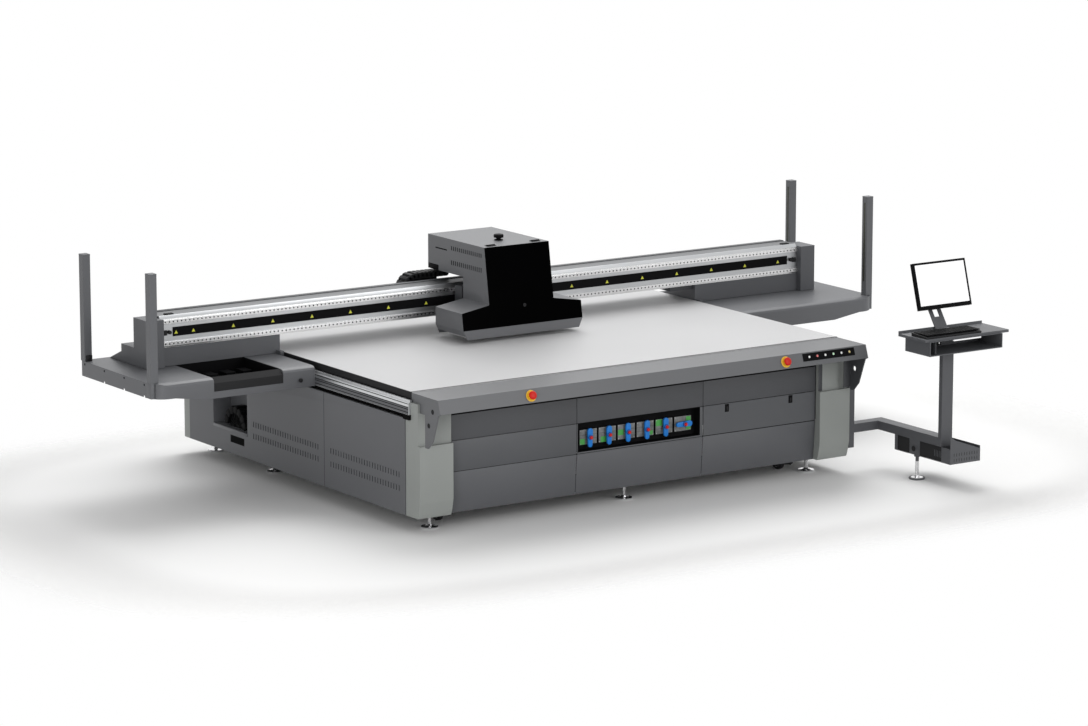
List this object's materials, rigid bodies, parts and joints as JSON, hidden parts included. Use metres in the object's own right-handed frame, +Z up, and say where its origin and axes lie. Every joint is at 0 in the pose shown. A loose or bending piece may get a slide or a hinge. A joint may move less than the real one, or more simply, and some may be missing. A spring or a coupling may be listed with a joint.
{
  "type": "flatbed uv printer",
  "caption": "Large flatbed UV printer: cabinet with a zoned vacuum bed, travelling gantry, lifting print carriage, side wings and an operator stand.",
  "frame": {"origin": "middle of the machine's floor plan, operator stand included, on the floor", "axes": "+X along the gantry beam, to the operator's right; +Y from the operator's console towards the back; +Z up"},
  "size_m": [5.78, 3.838, 1.606],
  "materials": {
    "slate_paint": "satin dark grey powder coat",
    "sage_paint": "satin grey-green powder coat",
    "console_paint": "satin mid grey powder coat",
    "frame_paint": "matt dark grey paint on square tube",
    "bed_coating": "hard anodised, light grey, perforated",
    "aluminium": "extruded and anodised",
    "steel": "brushed",
    "black_plastic": "fine textured black",
    "gloss_black": "polished black",
    "blue_plastic": "moulded blue",
    "red_plastic": "moulded red",
    "lamp_white": "translucent white lens",
    "lamp_green": "translucent green lens",
    "lamp_amber": "translucent amber lens",
    "tyre": "solid black rubber"
  },
  "bodies": {
    "cabinet": {"base_frame": "frame_paint", "button_plate": "black_plastic", "capping_tray": "black_plastic", "console": "console_paint", "corner_column_left": "sage_paint", "corner_column_right": "sage_paint", "desk": "slate_paint", "front_panel_center": "slate_paint", "front_panel_left": "slate_paint", "front_panel_right": "slate_paint", "keyboard": "black_plastic", "monitor_neck": "slate_paint", "pc_tray": "slate_paint", "post_front_left": "slate_paint", "post_front_right": "slate_paint", "post_rear_left": "slate_paint", "post_rear_right": "slate_paint", "rear_panel": "sage_paint", "side_cable_chain": "black_plastic", "side_panel_left": "slate_paint", "side_panel_right": "slate_paint", "side_rail_left": "aluminium", "side_rail_right": "aluminium", "stand_frame": "slate_paint", "vacuum_bed": "bed_coating", "vacuum_manifold": "steel", "valve_panel": "black_plastic", "wing_left": "slate_paint", "wing_right": "slate_paint"},
    "gantry": {"gantry_beam": "aluminium", "motor_strip": "black_plastic", "gantry_end_left": "slate_paint", "gantry_end_right": "slate_paint"},
    "carriage": {"carriage_slider": "steel"},
    "print_unit": {"carriage_housing": "slate_paint", "head_block": "steel", "cable_chain": "black_plastic"},
    "front_cover": {"carriage_front_cover": "gloss_black"},
    "service_door": {"access_door": "slate_paint"},
    "valve_1": {"valve_handle_1": "blue_plastic"},
    "valve_2": {"valve_handle_2": "blue_plastic"},
    "valve_3": {"valve_handle_3": "blue_plastic"},
    "valve_4": {"valve_handle_4": "blue_plastic"},
    "valve_5": {"valve_handle_5": "blue_plastic"},
    "valve_6": {"valve_handle_6": "blue_plastic"},
    "button_1": {"push_button_1": "lamp_white"},
    "button_2": {"push_button_2": "red_plastic"},
    "button_3": {"push_button_3": "lamp_white"},
    "button_4": {"push_button_4": "lamp_green"},
    "button_5": {"push_button_5": "lamp_white"},
    "button_6": {"push_button_6": "lamp_amber"},
    "stop_left": {"estop_left": "red_plastic"},
    "stop_right": {"estop_right": "red_plastic"},
    "screen": {"monitor": "black_plastic"},
    "swivel_left": {"caster_fork_left": "steel"},
    "wheel_front_left": {"caster_wheel_front_left": "tyre"},
    "wheel_rear_left": {"caster_wheel_rear_left": "tyre"},
    "swivel_right": {"caster_fork_right": "steel"},
    "wheel_front_right": {"caster_wheel_front_right": "tyre"},
    "wheel_rear_right": {"caster_wheel_rear_right": "tyre"}
  },
  "joints": [
    {"name": "gantry_travel", "type": "slide", "parent": "cabinet", "child": "gantry", "axis": [0, 1, 0], "range_m": [-1.2, 0.9]},
    {"name": "carriage_travel", "type": "slide", "parent": "gantry", "child": "carriage", "axis": [1, 0, 0], "range_m": [-2.11, 2.2]},
    {"name": "head_lift", "type": "slide", "parent": "carriage", "child": "print_unit", "axis": [0, 0, 1], "range_m": [-0.02, 0.08]},
    {"name": "cover_hinge", "type": "hinge", "parent": "print_unit", "child": "front_cover", "pos_m": [-0.087, 0.22368, 1.533], "axis": [-1, 0, 0], "range_deg": [0, 80]},
    {"name": "door_hinge", "type": "hinge", "parent": "cabinet", "child": "service_door", "pos_m": [0.98385, -1.069, 0.384], "axis": [1, 0, 0], "range_deg": [0, 90]},
    {"name": "valve_turn_1", "type": "hinge", "parent": "cabinet", "child": "valve_1", "pos_m": [-0.354, -1.0334, 0.475], "axis": [0, 1, 0], "range_deg": [0, 90]},
    {"name": "valve_turn_2", "type": "hinge", "parent": "cabinet", "child": "valve_2", "pos_m": [-0.2045, -1.0334, 0.475], "axis": [0, 1, 0], "range_deg": [0, 90]},
    {"name": "valve_turn_3", "type": "hinge", "parent": "cabinet", "child": "valve_3", "pos_m": [-0.055, -1.0334, 0.475], "axis": [0, 1, 0], "range_deg": [0, 90]},
    {"name": "valve_turn_4", "type": "hinge", "parent": "cabinet", "child": "valve_4", "pos_m": [0.0945, -1.0334, 0.475], "axis": [0, 1, 0], "range_deg": [0, 90]},
    {"name": "valve_turn_5", "type": "hinge", "parent": "cabinet", "child": "valve_5", "pos_m": [0.244, -1.0334, 0.475], "axis": [0, 1, 0], "range_deg": [0, 90]},
    {"name": "valve_turn_6", "type": "hinge", "parent": "cabinet", "child": "valve_6", "pos_m": [0.3935, -1.0334, 0.475], "axis": [0, 1, 0], "range_deg": [-90, 0]},
    {"name": "button_press_1", "type": "slide", "parent": "cabinet", "child": "button_1", "axis": [0, 0.9454, -0.326], "range_m": [0, 0.003], "stiffness_N_per_m": 600},
    {"name": "button_press_2", "type": "slide", "parent": "cabinet", "child": "button_2", "axis": [0, 0.9454, -0.326], "range_m": [0, 0.003], "stiffness_N_per_m": 600},
    {"name": "button_press_3", "type": "slide", "parent": "cabinet", "child": "button_3", "axis": [0, 0.9454, -0.326], "range_m": [0, 0.003], "stiffness_N_per_m": 600},
    {"name": "button_press_4", "type": "slide", "parent": "cabinet", "child": "button_4", "axis": [0, 0.9454, -0.326], "range_m": [0, 0.003], "stiffness_N_per_m": 600},
    {"name": "button_press_5", "type": "slide", "parent": "cabinet", "child": "button_5", "axis": [0, 0.9454, -0.326], "range_m": [0, 0.003], "stiffness_N_per_m": 600},
    {"name": "button_press_6", "type": "slide", "parent": "cabinet", "child": "button_6", "axis": [0, 0.9454, -0.326], "range_m": [0, 0.003], "stiffness_N_per_m": 600},
    {"name": "stop_press_left", "type": "slide", "parent": "cabinet", "child": "stop_left", "axis": [0, 0.9454, -0.326], "range_m": [0, 0.005], "stiffness_N_per_m": 1500},
    {"name": "stop_press_right", "type": "slide", "parent": "cabinet", "child": "stop_right", "axis": [0, 0.9454, -0.326], "range_m": [0, 0.005], "stiffness_N_per_m": 1500},
    {"name": "monitor_tilt", "type": "hinge", "parent": "cabinet", "child": "screen", "pos_m": [2.045, -1.519, 1.215], "axis": [1, 0, 0], "range_deg": [-6, 12]},
    {"name": "caster_swivel_left", "type": "hinge", "parent": "cabinet", "child": "swivel_left", "pos_m": [-1.355, -0.809, 0.1877], "axis": [0, 0, 1], "continuous": true},
    {"name": "wheel_roll_front_left", "type": "hinge", "parent": "swivel_left", "child": "wheel_front_left", "pos_m": [-1.355, -0.779, 0.064], "axis": [1, 0, 0], "continuous": true},
    {"name": "wheel_roll_rear_left", "type": "hinge", "parent": "cabinet", "child": "wheel_rear_left", "pos_m": [-1.355, 1.681, 0.064], "axis": [1, 0, 0], "continuous": true},
    {"name": "caster_swivel_right", "type": "hinge", "parent": "cabinet", "child": "swivel_right", "pos_m": [1.355, -0.809, 0.1877], "axis": [0, 0, 1], "continuous": true},
    {"name": "wheel_roll_front_right", "type": "hinge", "parent": "swivel_right", "child": "wheel_front_right", "pos_m": [1.355, -0.779, 0.064], "axis": [1, 0, 0], "continuous": true},
    {"name": "wheel_roll_rear_right", "type": "hinge", "parent": "cabinet", "child": "wheel_rear_right", "pos_m": [1.355, 1.681, 0.064], "axis": [1, 0, 0], "continuous": true}
  ]
}
